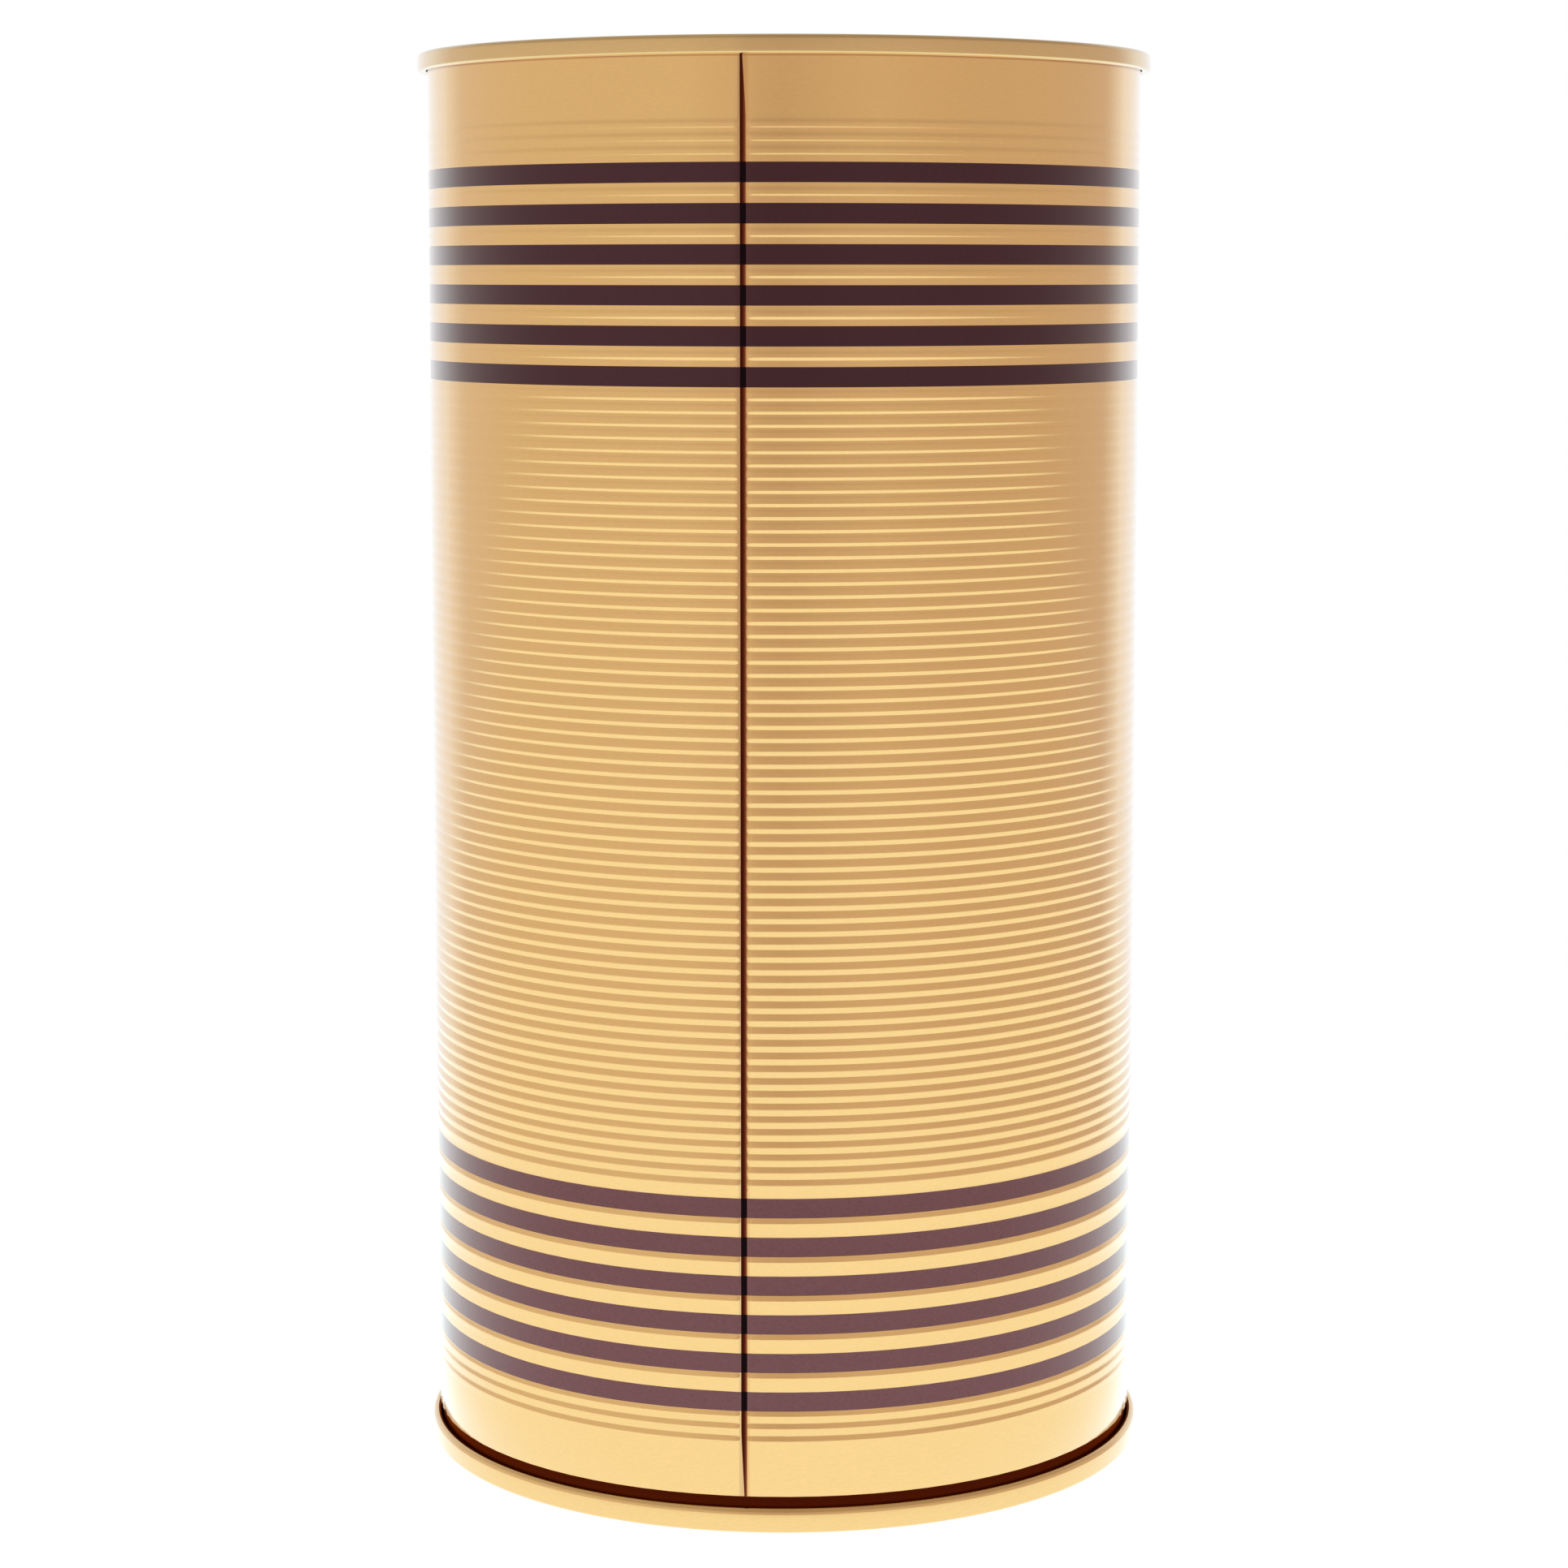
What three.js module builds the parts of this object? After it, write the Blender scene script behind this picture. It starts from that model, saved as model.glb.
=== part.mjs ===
// A tall round tin of rolled tinplate, closed by a seamed end at the top and by a plug lid at the bottom.
// It stands on its lid: origin on the axis at floor level, +Z up, +Y away from the side seam, millimetres.
import * as THREE from "three";

// Sheet and layout
const SHEET = 0.23; // tinplate thickness
const LAYER_STEP = 0.39; // sheet centre to sheet centre inside a double seam
const HEIGHT = 163.5; // floor to the crown of the top seam
const WALL_RADIUS = 41.5; // outer face of the body wall
const WALL_FOOT = 3.8; // height of the wall's hemmed lower edge
const FACETS = 40; // sides of every turned piece, the same on all so that the layers stay clear

// Top seam
const TOP_SEAM = { outerRadius: 42.67, depth: 2.1 };

// Lower hem of the wall, folded inwards
const HEM_HEIGHT = 2.6;
const HEM_GAP = 0.12; // air between the two layers of the hem

// Lid
const LID_SEAM = { outerRadius: 42.35, depth: 2.57 };
const COLLAR_TOP = 15; // height of the collar's curled edge above the floor
const COLLAR_CLEARANCE = 0.15; // between the collar and the wall's hem
const NECK_FOOT = 2.85; // the collar narrows between these two heights, below the wall's edge
const NECK_TOP = 3.7;
const CURL_RADIUS = 0.55; // middle radius of the collar's curled edge
const CURL_TURN = 230; // degrees

// Stamped ends, as depths below the crown of their seam and radii
const CHUCK_TAPER = 0.25; // the chuck wall draws in by this much on its way down
const GROOVE_DEPTH = 3.6; // countersink groove
const GROOVE_WIDTH = 0.9;
const GROOVE_CORNER = 0.3;
const PANEL_DEPTH = 2.5; // outer flat of the panel
const CENTRE_DEPTH = 2.9; // middle of the panel
const EXPANSION_RINGS = [
  { outer: 36.0, inner: 35.2 },
  { outer: 31.4, inner: 30.6 },
]; // steps down and back up, then the third step down to the middle
const CENTRE_STEP = { outer: 26.8, inner: 26.0 };

// Inside a double seam, in layer steps below the top layer
const COVER_TIP_LAYER = 2.72; // tip of the end's tucked hook
const COMPOUND_LAYER = 2.2; // middle of the sealing ring
const COMPOUND = 0.28; // side of the sealing ring's square section

const GOLD = { color: 0xd8a96a, roughness: 0.3, metalness: 1.0 };
const LACQUER = { color: 0x9a4a1e, roughness: 0.35, metalness: 0.9 };
const SEALANT = { color: 0x6d6a66, roughness: 0.8, metalness: 0.0 };

const at = (radius, height) => new THREE.Vector2(radius, height);

// Points on an arc in the section plane, angles in degrees from outwards to up.
function arc(centre, radius, from, to, steps) {
  return Array.from({ length: steps + 1 }, (_, i) => {
    const angle = THREE.MathUtils.degToRad(from + ((to - from) * i) / steps);
    return at(
      centre.x + radius * Math.cos(angle),
      centre.y + radius * Math.sin(angle),
    );
  });
}

// The outline of a sheet whose middle follows a line: along one face and back along the other.
function sheetOutline(midline) {
  const faces = [[], []];
  midline.forEach((point, i) => {
    const before = midline[i - 1] ?? point;
    const after = midline[i + 1] ?? point;
    const arriving = point.clone().sub(before).normalize();
    const leaving = after.clone().sub(point).normalize();
    const along = arriving.clone().add(leaving).normalize();
    const straightness = Math.max(along.dot(arriving), along.dot(leaving));
    const across = at(-along.y, along.x).multiplyScalar(
      SHEET / 2 / straightness,
    );
    faces[0].push(point.clone().add(across));
    faces[1].push(point.clone().sub(across));
  });
  return [...faces[0], ...faces[1].reverse()];
}

// A solid of revolution about +Z. An outline that leaves the axis returns to it; any other closes on itself.
function turned(outline) {
  const touchesAxis = outline[0].x === 0;
  const closed = touchesAxis ? outline : [...outline, outline[0].clone()];
  if (THREE.ShapeUtils.area(closed) < 0) closed.reverse();
  return new THREE.LatheGeometry(closed, FACETS).rotateX(Math.PI / 2);
}

function piece(name, outline, finish) {
  const mesh = new THREE.Mesh(
    turned(outline),
    new THREE.MeshStandardMaterial(finish),
  );
  mesh.name = name;
  return mesh;
}

// Middle radii of the five layers of a double seam, from the outside in.
function seamLayers(seam) {
  const panel = seam.outerRadius - SHEET / 2;
  const [bodyHook, coverHook, wall, chuck] = [1, 2, 3, 4].map(
    (layer) => panel - layer * LAYER_STEP,
  );
  return { panel, bodyHook, coverHook, wall, chuck };
}

// The flanged edge of a wall, from inside its seam to the end of its hook. The crown of the seam is height 0.
function bodyHook(seam) {
  const { bodyHook, wall } = seamLayers(seam);
  const bend = (bodyHook - wall) / 2;
  const shoulder = -SHEET / 2 - LAYER_STEP - bend;
  const tip = -seam.depth + SHEET + LAYER_STEP;
  return [
    ...arc(at(wall + bend, shoulder), bend, 180, 0, 3),
    at(bodyHook, tip),
  ];
}

// A stamped end: ringed panel, countersink groove, chuck wall, and the curl that locks round the wall's hook.
function stampedEnd(seam) {
  const { panel, coverHook, chuck } = seamLayers(seam);
  const crown = -SHEET / 2;
  const corner = LAYER_STEP;
  const grooveOuter = chuck - CHUCK_TAPER;
  const grooveInner = grooveOuter - GROOVE_WIDTH;
  const bend = (panel - coverHook) / 2;
  const curlFoot = -seam.depth + SHEET / 2 + bend;
  const coverTip = crown - COVER_TIP_LAYER * LAYER_STEP;
  return [
    at(0, -CENTRE_DEPTH),
    at(CENTRE_STEP.inner, -CENTRE_DEPTH),
    at(CENTRE_STEP.outer, -PANEL_DEPTH),
    ...EXPANSION_RINGS.toReversed().flatMap(({ outer, inner }) => [
      at(inner, -PANEL_DEPTH),
      at((inner + outer) / 2, -CENTRE_DEPTH),
      at(outer, -PANEL_DEPTH),
    ]),
    at(grooveInner - GROOVE_CORNER, -PANEL_DEPTH),
    at(grooveInner + GROOVE_CORNER, -GROOVE_DEPTH),
    at(grooveOuter - GROOVE_CORNER, -GROOVE_DEPTH),
    at(grooveOuter, -GROOVE_DEPTH + GROOVE_CORNER),
    ...arc(at(chuck + corner, crown - corner), corner, 180, 90, 2),
    ...arc(at(panel - corner, crown - corner), corner, 90, 0, 2),
    ...arc(at(coverHook + bend, curlFoot), bend, 0, -180, 3),
    at(coverHook, coverTip),
  ];
}

// The ring of sealing compound in the pocket between the tip of the cover hook and the bend of the body hook.
function sealingRing(seam) {
  const { coverHook } = seamLayers(seam);
  const height = -SHEET / 2 - COMPOUND_LAYER * LAYER_STEP;
  return arc(at(coverHook, height), COMPOUND / Math.SQRT2, 45, 315, 3);
}

// The rolled body, seen from the crown of its seam: hem, straight wall, hook.
function bodyWall() {
  const wall = WALL_RADIUS - SHEET / 2;
  const foot = WALL_FOOT - HEIGHT;
  const bend = (SHEET + HEM_GAP) / 2;
  return [
    at(wall - 2 * bend, foot + HEM_HEIGHT),
    ...arc(at(wall - bend, foot + SHEET / 2 + bend), bend, 180, 360, 3),
    ...bodyHook(TOP_SEAM),
  ];
}

// The plug collar, drawn seam up: curled edge, straight plug, neck, hook.
function collar() {
  const plug =
    WALL_RADIUS - 1.5 * SHEET - HEM_GAP - SHEET - COLLAR_CLEARANCE;
  const curlHeight = -(COLLAR_TOP - SHEET / 2 - CURL_RADIUS);
  return [
    ...arc(at(plug - CURL_RADIUS, curlHeight), CURL_RADIUS, -CURL_TURN, 0, 4),
    at(plug, -NECK_TOP),
    at(seamLayers(LID_SEAM).wall, -NECK_FOOT),
    ...bodyHook(LID_SEAM),
  ];
}

// The lid is drawn seam up, as its end is stamped, and turned over to stand on its seam.
function makeLid() {
  const lid = new THREE.Group();
  lid.add(
    piece("lid_end", sheetOutline(stampedEnd(LID_SEAM)), LACQUER),
    piece("lid_collar", sheetOutline(collar()), LACQUER),
    piece("lid_seam_compound", sealingRing(LID_SEAM), SEALANT),
  );
  lid.rotation.x = Math.PI;
  return lid;
}

function makeCan() {
  const can = new THREE.Group();
  can.add(
    piece("can_wall", sheetOutline(bodyWall()), GOLD),
    piece("top_end", sheetOutline(stampedEnd(TOP_SEAM)), GOLD),
    piece("top_seam_compound", sealingRing(TOP_SEAM), SEALANT),
  );
  can.position.z = HEIGHT;
  return can;
}

const tin = new THREE.Group();
tin.add(makeLid(), makeCan());

export default tin;
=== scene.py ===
"""A tall round gold tin that stands on its plug lid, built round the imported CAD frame.

Sections are drawn in millimetres, as (radius, height) points above the floor, and become metres in make_mesh.
An angle about the axis is counted from the front, -Y, towards +X.
"""

import math

import bmesh
import bpy
import numpy as np
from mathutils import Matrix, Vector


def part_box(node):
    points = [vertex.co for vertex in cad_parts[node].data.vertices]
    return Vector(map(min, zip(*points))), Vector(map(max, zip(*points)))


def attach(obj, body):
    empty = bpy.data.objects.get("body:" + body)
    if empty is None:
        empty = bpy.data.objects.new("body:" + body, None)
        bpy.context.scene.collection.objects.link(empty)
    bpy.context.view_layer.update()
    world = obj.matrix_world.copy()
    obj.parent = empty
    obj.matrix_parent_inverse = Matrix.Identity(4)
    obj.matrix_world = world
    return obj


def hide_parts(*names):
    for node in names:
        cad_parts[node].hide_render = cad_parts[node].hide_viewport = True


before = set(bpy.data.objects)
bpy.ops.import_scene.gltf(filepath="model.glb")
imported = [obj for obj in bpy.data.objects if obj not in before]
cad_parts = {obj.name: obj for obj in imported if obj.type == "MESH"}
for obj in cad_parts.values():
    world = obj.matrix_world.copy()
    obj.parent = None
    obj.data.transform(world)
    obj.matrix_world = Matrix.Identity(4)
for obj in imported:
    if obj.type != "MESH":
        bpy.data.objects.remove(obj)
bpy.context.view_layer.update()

MM = 0.001

# ---------------------------------------------------------------- sizes, as in the CAD except where noted

top_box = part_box("top_end")
lid_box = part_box("lid_end")
collar_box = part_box("lid_collar")

SHEET = 0.23  # tinplate thickness
LAYER_STEP = 0.39  # sheet centre to sheet centre inside a double seam
HEIGHT = top_box[1].z / MM
WALL_RADIUS = 41.5
WALL_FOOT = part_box("can_wall")[0].z / MM
HEM_HEIGHT = 2.6
HEM_GAP = 0.12
HEM_RISE = 0.06  # the hem is pressed flat, so its bend is an oval
TOP_SEAM = {"radius": top_box[1].x / MM, "depth": 2.1, "curl": 0.19}
LID_SEAM = {"radius": lid_box[1].x / MM, "depth": 2.8, "curl": 0.55}  # 0.23 deeper than in the CAD
COLLAR_TOP = collar_box[1].z / MM
COLLAR_CLEARANCE = 0.15
NECK_FOOT = 2.85
NECK_TOP = 3.7
CURL_RADIUS = 0.55
CURL_TURN = 230
CHUCK_TAPER = 0.25
GROOVE_DEPTH = 3.6
GROOVE_WIDTH = 0.9
GROOVE_CORNER = 0.3
PANEL_DEPTH = 2.5
CENTRE_DEPTH = 2.9
EXPANSION_RINGS = [(36.0, 35.2), (31.4, 30.6)]
CENTRE_STEP = (26.8, 26.0)
COVER_TIP_LAYER = 2.72
COMPOUND_LAYER = 2.2
COMPOUND = 0.28

# ---------------------------------------------------------------- relief of the wall

LAND_RADIUS = 41.47  # outer face between the ridges
RIDGE_MIDDLE = 82.14  # the ridges mirror each other about this height
RIDGE_PITCH = 1.4146
RIDGE_SWING = 0.033  # half of a ridge's height
CREST_BREADTH = 0.22  # second harmonic: broad crests and narrow grooves
RIDGES_EACH_WAY = 31
ROWS_PER_RIDGE = 8
BEAD_WIDTH = 1.38  # single ridges between the printed bands
BEAD_SWING = 0.035
FIRST_BEAD = 47.41
BAND_STEP = 4.353
BEADS = 5
RIM_BEADS = [69.15, 70.56, 71.98]

# Printed bands
BAND_MIDDLE = 81.87
FIRST_BAND = 45.4
BANDS = 6
BAND_WIDTH = 2.18

# Side seam: distance from the edge of the upper sheet along the wall, and the height of the surface there
SEAM_ANGLE = math.radians(-6.38)
LAP = [
    (-2.2, 0.0),
    (-1.5, 0.015),
    (-1.0, 0.045),
    (-0.7, 0.07),
    (-0.45, 0.08),
    (-0.25, 0.068),
    (-0.1, 0.04),
    (0.0, -0.02),
    (0.15, -0.06),
    (0.35, -0.055),
    (0.56, -0.03),
    (0.75, -0.01),
    (1.2, 0.0),
    (2.2, 0.0),
]
LAP_EDGE = -0.1  # where the upper sheet's face ends
GAP_WIDTH = 0.56  # the gap beside the edge, painted dark as shade
GAP_POINT = HEIGHT - TOP_SEAM["depth"]  # it starts as a point under the top seam
GAP_FULL = HEIGHT - 4.6
GAP_BEND = 12.0  # below this height it narrows and drifts to the right
GAP_DRIFT = 0.35
NOTCH = 0.08  # the gap is this much wider at each groove
BULGE = 0.05  # how far the top seam stands out over the side seam
BULGE_REACH = 2.0
SEAM_REACH = 2.2  # the columns beside the seam end this far from it
RIDGE_FADE = {"left": (-0.1, -0.6), "right": (0.35, 0.85)}  # where the ridges fade out beside the seam
WALL_COLUMNS = 82  # beside those of the side seam
TURNED_COLUMNS = 160


def at(radius, height):
    return np.array([radius, height], float)


def arc(centre, radius, start, end, steps, rise=None):
    """Points on an arc in the section plane, or on an oval one of another rise.

    Angles are in degrees, from outwards to up.
    """
    angles = np.radians(np.linspace(start, end, steps + 1))
    return [centre + at(radius * math.cos(a), (rise or radius) * math.sin(a)) for a in angles]


def rounded(points, radius, steps=4):
    """The line through some points with each corner turned into a curve."""
    line = [points[0]]
    for before, corner, after in zip(points, points[1:], points[2:]):
        back, ahead = before - corner, after - corner
        reach_back = min(radius, np.linalg.norm(back) * 0.45)
        reach_ahead = min(radius, np.linalg.norm(ahead) * 0.45)
        start = corner + back / np.linalg.norm(back) * reach_back
        end = corner + ahead / np.linalg.norm(ahead) * reach_ahead
        for t in np.linspace(0, 1, steps + 1):
            line.append((1 - t) ** 2 * start + 2 * t * (1 - t) * corner + t * t * end)
    line.append(points[-1])
    return line


def sheet_faces(midline):
    """The two faces of a sheet whose middle follows a line, as two rows of points."""
    faces = ([], [])
    for i, point in enumerate(midline):
        arriving = point - midline[i - 1] if i else midline[1] - point
        leaving = midline[i + 1] - point if i + 1 < len(midline) else arriving
        arriving = arriving / np.linalg.norm(arriving)
        leaving = leaving / np.linalg.norm(leaving)
        along = (arriving + leaving) / np.linalg.norm(arriving + leaving)
        across = at(-along[1], along[0]) * SHEET / 2 / along.dot(arriving)
        faces[0].append(point + across)
        faces[1].append(point - across)
    return faces


def sheet_outline(midline):
    left, right = sheet_faces(midline)
    return left + right[::-1]


def turned_over(outline):
    """An outline drawn seam up from its crown, set on the floor seam down."""
    return [at(r, -z) for r, z in outline]


def raised(outline, height):
    return [at(r, z + height) for r, z in outline]


# ---------------------------------------------------------------- double seams

def seam_layers(seam):
    """Middle radii of the five layers of a double seam: panel, body hook, cover hook, wall and chuck."""
    panel = seam["radius"] - SHEET / 2
    return [panel - layer * LAYER_STEP for layer in range(5)]


def body_hook(seam):
    """The flanged edge of a wall, from inside its seam to the end of its hook. The crown is height 0."""
    _, hook, _, wall, _ = seam_layers(seam)
    bend = (hook - wall) / 2
    shoulder = -SHEET / 2 - LAYER_STEP - bend
    tip = -seam["depth"] + SHEET + LAYER_STEP
    return arc(at(wall + bend, shoulder), bend, 180, 0, 8) + [at(hook, tip)]


def stamped_end(seam):
    """Ringed panel, countersink groove, chuck wall, and the curl that locks round the wall's hook."""
    panel, _, cover, _, chuck = seam_layers(seam)
    crown = -SHEET / 2
    groove_outer = chuck - CHUCK_TAPER
    groove_inner = groove_outer - GROOVE_WIDTH
    bend = (panel - cover) / 2
    curl_foot = -seam["depth"] + SHEET / 2 + seam["curl"]
    flat = [at(0, -CENTRE_DEPTH), at(CENTRE_STEP[1], -CENTRE_DEPTH), at(CENTRE_STEP[0], -PANEL_DEPTH)]
    for outer, inner in reversed(EXPANSION_RINGS):
        flat += [
            at(inner, -PANEL_DEPTH),
            at((inner + outer) / 2, -CENTRE_DEPTH),
            at(outer, -PANEL_DEPTH),
        ]
    flat += [
        at(groove_inner - GROOVE_CORNER, -PANEL_DEPTH),
        at(groove_inner + GROOVE_CORNER, -GROOVE_DEPTH),
        at(groove_outer - GROOVE_CORNER, -GROOVE_DEPTH),
        at(groove_outer, -GROOVE_DEPTH + GROOVE_CORNER),
        at(chuck, crown - LAYER_STEP),
    ]
    return (
        rounded(flat, 0.35)[:-1]
        + arc(at(chuck + LAYER_STEP, crown - LAYER_STEP), LAYER_STEP, 180, 90, 6)
        + arc(at(panel - LAYER_STEP, crown - LAYER_STEP), LAYER_STEP, 90, 0, 8)
        + arc(at(cover + bend, curl_foot), bend, 0, -180, 14, seam["curl"])
        + [at(cover, crown - COVER_TIP_LAYER * LAYER_STEP)]
    )


def sealing_ring(seam):
    cover = seam_layers(seam)[2]
    height = -SHEET / 2 - COMPOUND_LAYER * LAYER_STEP
    return arc(at(cover, height), COMPOUND / 2, 0, 330, 11)


def plug_collar():
    """The lid's plug, drawn seam up: curled edge, straight plug, neck, hook."""
    plug = WALL_RADIUS - 1.5 * SHEET - HEM_GAP - SHEET - COLLAR_CLEARANCE
    curl_height = -(COLLAR_TOP - SHEET / 2 - CURL_RADIUS)
    neck = [at(plug, curl_height), at(plug, -NECK_TOP), at(seam_layers(LID_SEAM)[3], -NECK_FOOT)]
    hook = body_hook(LID_SEAM)
    return (
        arc(at(plug - CURL_RADIUS, curl_height), CURL_RADIUS, -CURL_TURN, 0, 16)[:-1]
        + rounded(neck + [hook[0]], 0.4)[:-1]
        + hook
    )


# ---------------------------------------------------------------- meshes

def make_mesh(name, columns, sharp=35):
    """A closed mesh from columns of (x, y, z) points in millimetres, which wraps round both ways.

    The points of a row that lie on the axis are one and the same point.
    """
    count, rows, _ = columns.shape
    column, row = np.meshgrid(np.arange(count), np.arange(rows), indexing="ij")
    next_column, next_row = (column + 1) % count, (row + 1) % rows
    corners = [(column, row), (next_column, row), (next_column, next_row), (column, next_row)]
    on_axis = np.hypot(columns[..., 0], columns[..., 1]) < 1e-9
    point = np.where(on_axis, 0, np.arange(count)[:, None]) * rows + np.arange(rows)
    quads = np.stack([point[c, r] for c, r in corners], axis=-1).reshape(-1, 4)
    used = np.unique(quads)
    faces = [list(dict.fromkeys(quad)) for quad in np.searchsorted(used, quads).tolist()]
    mesh = bpy.data.meshes.new(name)
    mesh.from_pydata(columns.reshape(-1, 3)[used] * MM, [], [face for face in faces if len(face) > 2])
    piece = bpy.data.objects.new(name, mesh)
    bpy.context.scene.collection.objects.link(piece)
    mesh.shade_smooth()
    mesh.set_sharp_from_angle(angle=math.radians(sharp))
    return piece


def area(outline):
    points = np.array(outline)
    following = np.roll(points, -1, axis=0)
    return (points[:, 0] * following[:, 1] - following[:, 0] * points[:, 1]).sum() / 2


def swept(outline, angles):
    """Columns of points: an outline at each angle about the axis."""
    points = np.array(outline if area(outline) > 0 else outline[::-1])
    x = np.outer(np.sin(angles), points[:, 0])
    y = -np.outer(np.cos(angles), points[:, 0])
    z = np.broadcast_to(points[:, 1], x.shape)
    return np.stack([x, y, z], axis=-1)


def turned(name, outline):
    angles = np.linspace(0, 2 * math.pi, TURNED_COLUMNS, endpoint=False)
    return make_mesh(name, swept(outline, angles))


def turned_over_seam(name, outline, seam):
    """A turned end whose curl stands out a little where it crosses the thicker side seam of the wall."""
    near = np.linspace(-BULGE_REACH, BULGE_REACH, 13) / WALL_RADIUS
    rest = np.linspace(near[-1], 2 * math.pi + near[0], TURNED_COLUMNS)[1:-1]
    around = np.concatenate([near, rest])
    columns = swept(outline, around + SEAM_ANGLE)
    off = np.minimum(around, 2 * math.pi - around) * WALL_RADIUS
    crest = BULGE * 0.5 * (1 + np.cos(math.pi * np.clip(abs(off) / BULGE_REACH, 0, 1)))
    radius = np.hypot(columns[..., 0], columns[..., 1])
    on_curl = smooth_step(seam["radius"] - 0.6, seam["radius"] - 0.2, radius)
    grown = 1 + crest[:, None] * on_curl / np.maximum(radius, 1)
    columns[..., :2] *= grown[..., None]
    return make_mesh(name, columns)


# ---------------------------------------------------------------- the rolled wall

def smooth_step(low, high, value):
    t = np.clip((value - low) / (high - low), 0, 1)
    return t * t * (3 - 2 * t)


def ridge_field(height):
    """Relief of the close ridges, 0 in the grooves."""
    turn = 2 * math.pi * (height - RIDGE_MIDDLE) / RIDGE_PITCH + math.pi
    wave = np.cos(turn) - CREST_BREADTH * np.cos(2 * turn) + 1 + CREST_BREADTH
    return np.where(abs(height - RIDGE_MIDDLE) < RIDGES_EACH_WAY * RIDGE_PITCH, RIDGE_SWING * wave, 0)


def bead_heights():
    away = [FIRST_BEAD + BAND_STEP * k for k in range(BEADS)] + RIM_BEADS
    return [RIDGE_MIDDLE + side * distance for distance in away for side in (-1, 1)]


def beads(height):
    relief = np.zeros_like(height)
    for middle in bead_heights():
        off = (height - middle) / BEAD_WIDTH
        relief += np.where(abs(off) < 0.5, BEAD_SWING * (1 + np.cos(2 * math.pi * off)), 0)
    return relief


def band_middles():
    return [BAND_MIDDLE + side * (FIRST_BAND + BAND_STEP * k) for k in range(BANDS) for side in (-1, 1)]


def wall_rows():
    """Heights of the rows of points on the wall's outer face, with one on each edge of a printed band."""
    field = np.arange(-RIDGES_EACH_WAY * ROWS_PER_RIDGE, RIDGES_EACH_WAY * ROWS_PER_RIDGE + 1)
    rows = list(RIDGE_MIDDLE + field * RIDGE_PITCH / ROWS_PER_RIDGE)
    for middle in bead_heights():
        rows += list(middle + BEAD_WIDTH * np.linspace(-0.5, 0.5, ROWS_PER_RIDGE + 1))
    for middle in band_middles():
        rows += [middle - BAND_WIDTH / 2, middle + BAND_WIDTH / 2]
    rows = np.sort(rows)
    return rows[np.insert(np.diff(rows) > 0.02, 0, True)]


def gap_scale(height):
    """How wide the gap of the side seam is, from 0 to 1."""
    top = 1 - smooth_step(GAP_FULL, GAP_POINT, height)
    foot = smooth_step(WALL_FOOT, GAP_BEND, height)
    return np.minimum(0.2 + 0.8 * top, 0.4 + 0.6 * foot)


def seam_offsets(height, relief):
    """Distances from the seam's line of the columns beside it, one row for each of them."""
    offsets = np.outer([s for s, _ in LAP], np.ones_like(height))
    in_gap = offsets * gap_scale(height)
    deepest = RIDGE_SWING * 2
    notch = NOTCH * (1 - relief / deepest) * (abs(height - RIDGE_MIDDLE) < RIDGES_EACH_WAY * RIDGE_PITCH)
    drift = GAP_DRIFT * (1 - smooth_step(WALL_FOOT, GAP_BEND, height))
    inside = (offsets > 0) & (offsets <= GAP_WIDTH)
    offsets = np.where(inside, in_gap + notch * offsets / GAP_WIDTH, offsets)
    near = np.clip(1 - abs(offsets) / SEAM_REACH, 0, 1)
    return offsets + drift * near


def rolled_wall():
    """Hem, rolled wall with its side seam, and hook, as one closed sheet."""
    wall = LAND_RADIUS - SHEET / 2
    bend = (SHEET + HEM_GAP) / 2
    hem = [at(wall - 2 * bend, WALL_FOOT + HEM_HEIGHT)]
    hem += arc(at(wall - bend, WALL_FOOT + SHEET / 2 + HEM_RISE), bend, 180, 360, 8, HEM_RISE)
    hook = raised(body_hook(TOP_SEAM), HEIGHT)
    rows = wall_rows()
    hem_inner, hem_outer = sheet_faces(hem + [at(wall, rows[0])])
    hook_inner, hook_outer = sheet_faces([at(wall, rows[-1])] + hook)
    outer = hem_outer[:-1] + [at(LAND_RADIUS, z) for z in rows] + hook_outer[1:]
    inner = hem_inner[:-1] + [at(LAND_RADIUS - SHEET, z) for z in rows[::2]] + hook_inner[1:]
    radius, height = np.array(outer + inner[::-1]).T

    free = (height > rows[0]) & (height < rows[-1])
    relief = np.where(free, ridge_field(height) + beads(height), 0)
    beside = SEAM_ANGLE + seam_offsets(height, relief) / WALL_RADIUS
    shares = np.linspace(0, 1, WALL_COLUMNS + 1)[1:-1]
    rest = beside[-1] + np.outer(shares, 2 * math.pi + beside[0] - beside[-1])
    angles = np.concatenate([beside, rest])
    along = (angles - SEAM_ANGLE) * WALL_RADIUS
    lap = np.zeros(len(angles))
    lap[: len(LAP)] = [lift for _, lift in LAP]

    near_left = 1 - smooth_step(*RIDGE_FADE["left"], along)
    near_right = 1 - smooth_step(*RIDGE_FADE["right"], along)
    far = np.where(along < 0, 1 - near_left, 1 - near_right)
    far = np.where(along > math.pi * WALL_RADIUS, 1, far)
    outside = np.arange(len(height)) < len(outer)
    on_face = outside * smooth_step(WALL_FOOT, WALL_FOOT + 1.5, height)
    on_face = on_face * (1 - smooth_step(GAP_FULL, GAP_POINT, height))
    radius = radius + far * relief + np.outer(lap, on_face)
    columns = np.stack([radius * np.sin(angles), -radius * np.cos(angles), height + 0 * angles], axis=-1)
    return make_mesh("rolled_wall", columns, sharp=50)


# The gap's two materials are painted shade
GOLD_FACE, INK_FACE, GAP_SHADE_FACE, INKED_GAP_SHADE_FACE = 0, 1, 2, 3


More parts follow.
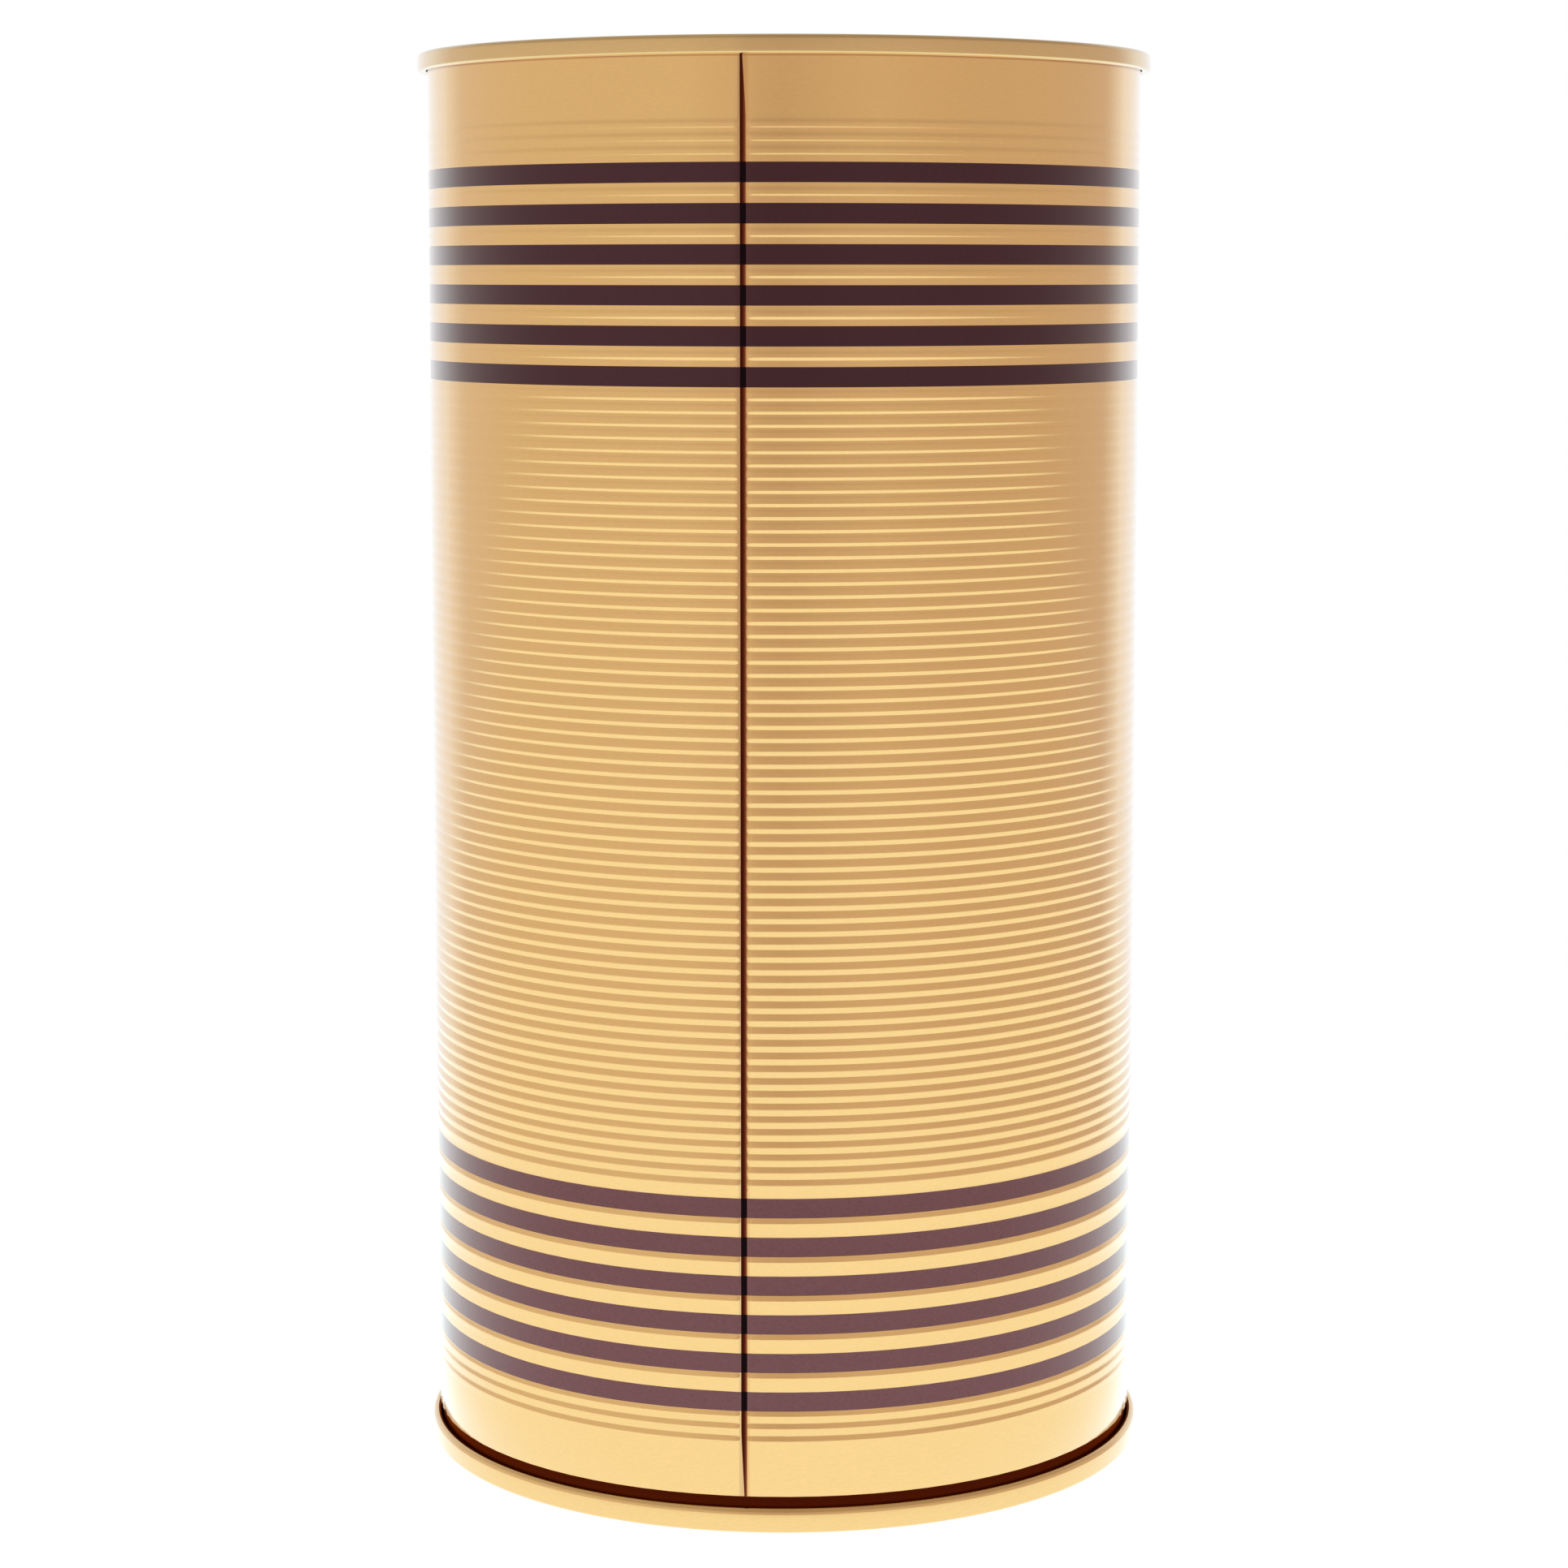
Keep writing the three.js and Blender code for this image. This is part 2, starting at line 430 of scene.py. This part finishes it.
def print_bands(wall):
    """Gives the printed bands and the gap of the side seam their own materials; the gap's are painted shade.

    The faces of the wall come column by column.
    """
    faces = wall.data.polygons
    rows = len(faces) // (len(LAP) + WALL_COLUMNS - 1)
    in_gap = [LAP_EDGE <= s < GAP_WIDTH for s, _ in LAP]
    for face in faces:
        centre = face.center / MM
        column = face.index // rows
        outside = math.hypot(centre.x, centre.y) > LAND_RADIUS - SHEET / 2
        below_seam = WALL_FOOT < centre.z < GAP_POINT
        inked = any(abs(centre.z - middle) < BAND_WIDTH / 2 for middle in band_middles())
        if outside and below_seam and column < len(LAP) and in_gap[column]:
            face.material_index = INKED_GAP_SHADE_FACE if inked else GAP_SHADE_FACE
        elif outside and inked:
            face.material_index = INK_FACE


# ---------------------------------------------------------------- materials

def new_material(name):
    material = bpy.data.materials.new(name)
    material.use_nodes = True
    tree = material.node_tree
    return material, tree, tree.nodes["Principled BSDF"]


def add_node(tree, kind, settings=None, **inputs):
    """A node with its settings and its unlinked or linked inputs."""
    made = tree.nodes.new(kind)
    for key, value in (settings or {}).items():
        setattr(made, key, value)
    for key, value in inputs.items():
        socket = made.inputs[int(key[1:])] if key[0] == "_" else made.inputs[key.replace("_", " ")]
        if isinstance(value, bpy.types.NodeSocket):
            tree.links.new(value, socket)
        else:
            socket.default_value = value
    return made


def math_node(tree, operation, a, b=0.0, c=0.0):
    return add_node(tree, "ShaderNodeMath", {"operation": operation}, _0=a, _1=b, _2=c).outputs[0]


def mix_colours(tree, factor, a, b):
    mixed = add_node(tree, "ShaderNodeMix", {"data_type": "RGBA"}, _0=factor, _6=a, _7=b)
    return mixed.outputs[2]


def scale_colour(tree, base, level):
    return add_node(tree, "ShaderNodeVectorMath", {"operation": "SCALE"}, _0=base, Scale=level).outputs[0]


def ramp(tree, factor, stops):
    """A colour ramp through (position, red, green, blue) stops."""
    node = add_node(tree, "ShaderNodeValToRGB", None, _0=factor)
    elements = node.color_ramp.elements
    while len(elements) < len(stops):
        elements.new(0.5)
    for element, (position, *rgb) in zip(elements, stops):
        element.position = position
        element.color = colour(*rgb)
    return node.outputs[0]


def grain(tree, across, along, detail=3.0):
    """Rolling grain: noise that is fine up the wall and long round it, from -1 to 1."""
    place = add_node(tree, "ShaderNodeTexCoord").outputs["Object"]
    scaled = add_node(tree, "ShaderNodeMapping", None, _0=place, _3=(along, along, across)).outputs[0]
    noise = add_node(tree, "ShaderNodeTexNoise", None, Vector=scaled, Scale=1.0, Detail=detail)
    return math_node(tree, "MULTIPLY_ADD", noise.outputs[0], 2.0, -1.0)


def colour(red, green, blue):
    return (red, green, blue, 1.0)


def tinplate(name, base, roughness, coat, seam_painted_light=False):
    material, tree, shader = new_material(name)
    fine = grain(tree, 4500.0, 1600.0)
    broad = grain(tree, 160.0, 60.0)
    tone = math_node(tree, "MULTIPLY_ADD", fine, 0.05, 1.0)
    tone = math_node(tree, "MULTIPLY_ADD", broad, 0.012, tone)
    face = scale_colour(tree, base[:3], tone)
    # Painted light along the side seam: a painted reflection on the upper sheet's edge, and painted shade
    # beside the gap and at the foot of the top seam
    if seam_painted_light:
        across = seam_distance(tree)
        # Painted reflection: the rounded edge of the upper sheet is tinted greyer
        near = add_range(tree, across, *EDGE_REFLECTION_SPAN)
        left = math_node(tree, "LESS_THAN", across, EDGE_REFLECTION_END)
        edge = math_node(tree, "MULTIPLY", near, left)
        face = mix_colours(tree, math_node(tree, "MULTIPLY", edge, EDGE_REFLECTION_SHARE), face, EDGE_REFLECTION)
        # Painted shade on the lower sheet inside the gap, fading out beyond it
        beyond_gap_side_shade = add_range(tree, math_node(tree, "ABSOLUTE", across), GAP_WIDTH, GAP_WIDTH + GAP_SIDE_SHADE_WIDTH)
        right = math_node(tree, "GREATER_THAN", across, 0.0)
        gap_side_shade = math_node(tree, "MULTIPLY", right, math_node(tree, "SUBTRACT", 1.0, beyond_gap_side_shade))
        face = mix_colours(tree, math_node(tree, "MULTIPLY", gap_side_shade, GAP_SIDE_SHADE_SHARE), face, GAP_SIDE_SHADE)
        # Painted shade in a thin ring at the foot of the top seam
        seam_foot_shade = add_range(tree, object_height(tree), (GAP_POINT - SEAM_FOOT_SHADE_DEPTH) * MM, GAP_POINT * MM)
        face = mix_colours(tree, seam_foot_shade, face, SEAM_FOOT_SHADE)
    tree.links.new(face, shader.inputs["Base Color"])
    rough = math_node(tree, "MULTIPLY_ADD", broad, 0.02, roughness)
    tree.links.new(rough, shader.inputs["Roughness"])
    bump = add_node(tree, "ShaderNodeBump", None, Strength=0.03, Distance=0.00001, Height=fine)
    tree.links.new(bump.outputs[0], shader.inputs["Normal"])
    shader.inputs["Metallic"].default_value = 1.0
    shader.inputs["Coat Weight"].default_value = coat
    shader.inputs["Coat Roughness"].default_value = 0.06
    return material


def add_range(tree, value, low, high):
    """0 at the low end of a range and 1 at its high end."""
    node = add_node(tree, "ShaderNodeMapRange", None, Value=value)
    node.inputs["From Min"].default_value = low
    node.inputs["From Max"].default_value = high
    return node.outputs[0]


def object_height(tree):
    place = add_node(tree, "ShaderNodeTexCoord").outputs["Object"]
    return add_node(tree, "ShaderNodeSeparateXYZ", None, _0=place).outputs[2]


def seam_distance(tree):
    """Distance in millimetres from the line of the side seam, and a large one on the far side."""
    place = add_node(tree, "ShaderNodeTexCoord").outputs["Object"]
    x, y, _ = add_node(tree, "ShaderNodeSeparateXYZ", None, _0=place).outputs
    across = math_node(tree, "MULTIPLY", x, math.cos(SEAM_ANGLE) / MM)
    across = math_node(tree, "MULTIPLY_ADD", y, math.sin(SEAM_ANGLE) / MM, across)
    behind = math_node(tree, "GREATER_THAN", y, 0.0)
    return math_node(tree, "MULTIPLY_ADD", behind, 1000.0, across)


def seam_gap_shade():
    """Painted shade in the gap beside the upper sheet's edge: black red under it, orange where the lower
    sheet comes out.
    """
    material, tree, shader = new_material("seam_gap_shade")
    share = add_range(tree, seam_distance(tree), 0.0, GAP_WIDTH + NOTCH)
    fine = grain(tree, 4000.0, 1400.0)
    tone = math_node(tree, "MULTIPLY_ADD", fine, 0.15, 1.0)
    tree.links.new(scale_colour(tree, ramp(tree, share, GAP_SHADE_TONES), tone), shader.inputs["Base Color"])
    shader.inputs["Roughness"].default_value = 0.6
    shader.inputs["Specular IOR Level"].default_value = 0.05
    return material


def inked_gap_shade():
    """Painted shade in the same gap where a printed band crosses it, nearly black."""
    material, tree, shader = new_material("inked_gap_shade")
    fine = grain(tree, 4000.0, 1400.0)
    tone = math_node(tree, "MULTIPLY_ADD", fine, 0.15, 1.0)
    tree.links.new(scale_colour(tree, INKED_GAP_SHADE[:3], tone), shader.inputs["Base Color"])
    shader.inputs["Roughness"].default_value = 0.6
    shader.inputs["Specular IOR Level"].default_value = 0.05
    return material


def collar_lacquer_and_neck_shade():
    """Gold lacquer on the plug, over a neck painted dark red brown as the shade in the narrow gap between the
    wall's foot and the lid's rim.
    """
    material, tree, shader = new_material("collar_lacquer_and_neck_shade")
    low, high = NECK_SHADE_TO_PLUG
    share = add_range(tree, object_height(tree), low * MM, high * MM)
    face = mix_colours(tree, share, NECK_SHADE_BROWN, PLUG_GOLD)
    fine = grain(tree, 7000.0, 1400.0)
    tone = math_node(tree, "MULTIPLY_ADD", fine, 0.05, 1.0)
    tree.links.new(scale_colour(tree, face, tone), shader.inputs["Base Color"])
    shader.inputs["Metallic"].default_value = 0.6
    shader.inputs["Specular IOR Level"].default_value = 0.0
    shader.inputs["Specular Tint"].default_value = colour(1.0, 0.55, 0.3)
    shader.inputs["Roughness"].default_value = 0.35
    return material


def printing_ink():
    """Glossy dark purple. The lower bands are painted lighter than the upper ones, painted light standing in
    for the bright table below them.
    """
    material, tree, shader = new_material("printing_ink")
    fine = grain(tree, 4000.0, 2600.0)
    tone = math_node(tree, "MULTIPLY_ADD", fine, 0.3, 1.0)
    # Painted light: the bands below the middle get the lighter colour
    lower = math_node(tree, "LESS_THAN", object_height(tree), BAND_MIDDLE * MM)
    face = mix_colours(tree, lower, UPPER_INK_SHADED, LOWER_INK_LIT)
    tree.links.new(scale_colour(tree, face, tone), shader.inputs["Base Color"])
    rough = math_node(tree, "MULTIPLY_ADD", fine, 0.02, 0.2)
    tree.links.new(rough, shader.inputs["Roughness"])
    shader.inputs["Metallic"].default_value = 1.0
    shader.inputs["Coat Weight"].default_value = 1.0
    shader.inputs["Coat Roughness"].default_value = 0.14
    shader.inputs["Coat IOR"].default_value = 1.4
    return material


def sealing_compound():
    material, tree, shader = new_material("sealing_compound")
    fine = grain(tree, 3000.0, 3000.0)
    tone = math_node(tree, "MULTIPLY_ADD", fine, 0.1, 1.0)
    tree.links.new(scale_colour(tree, COMPOUND_GREY[:3], tone), shader.inputs["Base Color"])
    bump = add_node(tree, "ShaderNodeBump", None, Strength=0.3, Distance=0.00003, Height=fine)
    tree.links.new(bump.outputs[0], shader.inputs["Normal"])
    shader.inputs["Roughness"].default_value = 0.75
    return material


# ---------------------------------------------------------------- the tin

GOLD = colour(0.794, 0.505, 0.19)
RIM_GOLD = colour(0.68, 0.46, 0.19)  # where the lacquer is stretched over the top seam
EDGE_REFLECTION = colour(0.45, 0.28, 0.15)  # painted reflection: a greyer tint on the rounded edge of the upper sheet
GAP_SIDE_SHADE = colour(0.66, 0.34, 0.11)  # painted shade on the lower sheet, fading out beside the gap
SEAM_FOOT_SHADE = colour(0.5, 0.22, 0.07)  # painted shade in a thin ring at the foot of the top seam
# The painted reflection on the upper sheet's edge and the painted shade beside the gap, by distance from the
# seam in millimetres
EDGE_REFLECTION_SPAN = (-0.4, -0.25)
EDGE_REFLECTION_END = 0.05
EDGE_REFLECTION_SHARE = 0.45
GAP_SIDE_SHADE_WIDTH = 0.4
GAP_SIDE_SHADE_SHARE = 0.8
SEAM_FOOT_SHADE_DEPTH = 0.2
# Painted shade across the gap: share of its width, red, green, blue
GAP_SHADE_TONES = [
    (0, 0.055, 0.004, 0.0005),
    (0.35, 0.08, 0.009, 0.002),
    (0.65, 0.22, 0.05, 0.013),
    (1, 0.5, 0.25, 0.1),
]
# painted shade in the side seam's gap where a printed band crosses it
INKED_GAP_SHADE = colour(0.006, 0.001, 0.002)
# the same ink, painted darker in the upper bands and lighter in the lower ones for the light from the table
# below
UPPER_INK_SHADED = colour(0.05, 0.006, 0.013)
LOWER_INK_LIT = colour(0.14, 0.045, 0.05)
# painted shade on the neck, seen through the gap above the lid's rim
NECK_SHADE_BROWN = colour(0.11, 0.014, 0.003)
PLUG_GOLD = colour(0.55, 0.30, 0.10)
NECK_SHADE_TO_PLUG = (4.1, 4.6)  # heights between which the neck's painted shade gives way to the plug's gold
COMPOUND_GREY = colour(0.16, 0.15, 0.14)

gold = tinplate("gold_lacquer", GOLD, 0.15, 1.0)
rim_gold = tinplate("rim_gold_lacquer", RIM_GOLD, 0.17, 1.0)
# The wall's gold lacquer, with painted reflection and painted shade along the side seam and under the top
# seam
wall_gold_and_seam_shade = tinplate("wall_gold_lacquer_seam_shade", GOLD, 0.1, 1.0, seam_painted_light=True)
ink = printing_ink()
gap = seam_gap_shade()
black_gap_shade = inked_gap_shade()
collar = collar_lacquer_and_neck_shade()
compound = sealing_compound()


def place(piece, body, node, slot, *materials):
    for material in materials:
        piece.data.materials.append(material)
    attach(piece, body)
    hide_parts(node)


wall = rolled_wall()
print_bands(wall)
place(wall, "can", "can_wall", "gold_tinplate", wall_gold_and_seam_shade, ink, gap, black_gap_shade)
place(
    turned_over_seam("seamed_end", raised(sheet_outline(stamped_end(TOP_SEAM)), HEIGHT), TOP_SEAM),
    "can", "top_end", "gold_tinplate", rim_gold,
)
place(
    turned("top_compound", raised(sealing_ring(TOP_SEAM), HEIGHT)),
    "can", "top_seam_compound", "seam_compound", compound,
)
place(
    turned("lid_disc", turned_over(sheet_outline(stamped_end(LID_SEAM)))),
    "lid", "lid_end", "lid_tinplate", gold,
)
place(
    turned("plug_collar", turned_over(sheet_outline(plug_collar()))),
    "lid", "lid_collar", "lid_tinplate", collar,
)
place(
    turned("lid_compound", turned_over(sealing_ring(LID_SEAM))),
    "lid", "lid_seam_compound", "seam_compound", compound,
)

# ---------------------------------------------------------------- studio

FLOOR_RADIUS = 0.25
FLOOR_GLOW = colour(0.8, 0.9, 1.0)
WHITE = colour(1, 1, 1)

# Plain soft studio light: pale walls, dimmer towards the front and overhead, a white backdrop and table
LEFT_WALL = colour(0.85, 0.78, 0.72)
RIGHT_WALL = colour(0.75, 0.65, 0.6)
FRONT = colour(0.7, 0.6, 0.55)
BACKDROP = colour(1.0, 1.0, 1.0)
TABLE = colour(1.2, 1.3, 1.3)
CEILING_DIMMING = 0.65
# Where one tone passes into the next, in degrees from the front or above the horizon
SIDES = (-30, 60)
FRONT_EDGE = (0, 30)
BACKDROP_EDGE = (125, 140)
CEILING_EDGE = (5, 35)
TABLE_EDGE = (-14, -12)


def make_world():
    """The tones that light the tin and that it mirrors. The camera sees plain white behind it."""
    world = bpy.data.worlds.new("studio")
    bpy.context.scene.world = world
    world.use_nodes = True
    tree = world.node_tree
    tree.nodes.clear()
    direction = add_node(tree, "ShaderNodeTexCoord").outputs["Generated"]
    x, y, z = add_node(tree, "ShaderNodeSeparateXYZ", None, _0=direction).outputs
    front = math_node(tree, "MULTIPLY", y, -1.0)
    azimuth = math_node(tree, "DEGREES", math_node(tree, "ARCTAN2", x, front))
    elevation = math_node(tree, "DEGREES", math_node(tree, "ARCSINE", z))
    away = math_node(tree, "ABSOLUTE", azimuth)
    walls = mix_colours(tree, add_range(tree, azimuth, *SIDES), LEFT_WALL, RIGHT_WALL)
    walls = mix_colours(tree, add_range(tree, away, *FRONT_EDGE), FRONT, walls)
    walls = mix_colours(tree, add_range(tree, away, *BACKDROP_EDGE), walls, BACKDROP)
    up = add_range(tree, elevation, *CEILING_EDGE)
    level = math_node(tree, "MULTIPLY_ADD", up, CEILING_DIMMING - 1, 1.0)
    room = scale_colour(tree, walls, level)
    seen = mix_colours(tree, add_range(tree, elevation, *TABLE_EDGE), TABLE, room)
    glow = add_node(tree, "ShaderNodeBackground", None, Color=seen)
    plain = add_node(tree, "ShaderNodeBackground", None, Color=WHITE, Strength=1.0)
    to_camera = add_node(tree, "ShaderNodeLightPath").outputs["Is Camera Ray"]
    both = add_node(tree, "ShaderNodeMixShader", None, _0=to_camera, _1=glow.outputs[0], _2=plain.outputs[0])
    out = add_node(tree, "ShaderNodeOutputWorld")
    tree.links.new(both.outputs[0], out.inputs["Surface"])


def make_floor():
    """A pale disc. The tin mirrors the table's tone in its place."""
    work = bmesh.new()
    bmesh.ops.create_circle(work, cap_ends=True, segments=96, radius=FLOOR_RADIUS)
    mesh = bpy.data.meshes.new("floor")
    work.to_mesh(mesh)
    work.free()
    floor = bpy.data.objects.new("floor", mesh)
    bpy.context.scene.collection.objects.link(floor)
    material, _, shader = new_material("pale_floor")
    shader.inputs["Base Color"].default_value = colour(0.5, 0.5, 0.5)
    shader.inputs["Roughness"].default_value = 0.9
    shader.inputs["Emission Color"].default_value = FLOOR_GLOW
    shader.inputs["Emission Strength"].default_value = 1.0
    mesh.materials.append(material)
    floor.visible_glossy = False


CAMERA_PLACE = (0, -0.4459, 0.1383)
CAMERA_TILT = 6.3  # degrees down
CAMERA_LENS = 86.6
CAMERA_SHIFT = -0.06


def make_camera():
    """Stands in front of the tin, near the height of its upper bands, and looks slightly down."""
    data = bpy.data.cameras.new("camera")
    data.sensor_width = 36.0
    data.lens = CAMERA_LENS
    data.shift_y = CAMERA_SHIFT
    data.clip_start = 0.01
    camera = bpy.data.objects.new("camera", data)
    bpy.context.scene.collection.objects.link(camera)
    camera.location = CAMERA_PLACE
    camera.rotation_euler = (math.radians(90 - CAMERA_TILT), 0, 0)
    bpy.context.scene.camera = camera


make_world()
make_floor()
make_camera()
bpy.context.scene.view_settings.view_transform = "Standard"
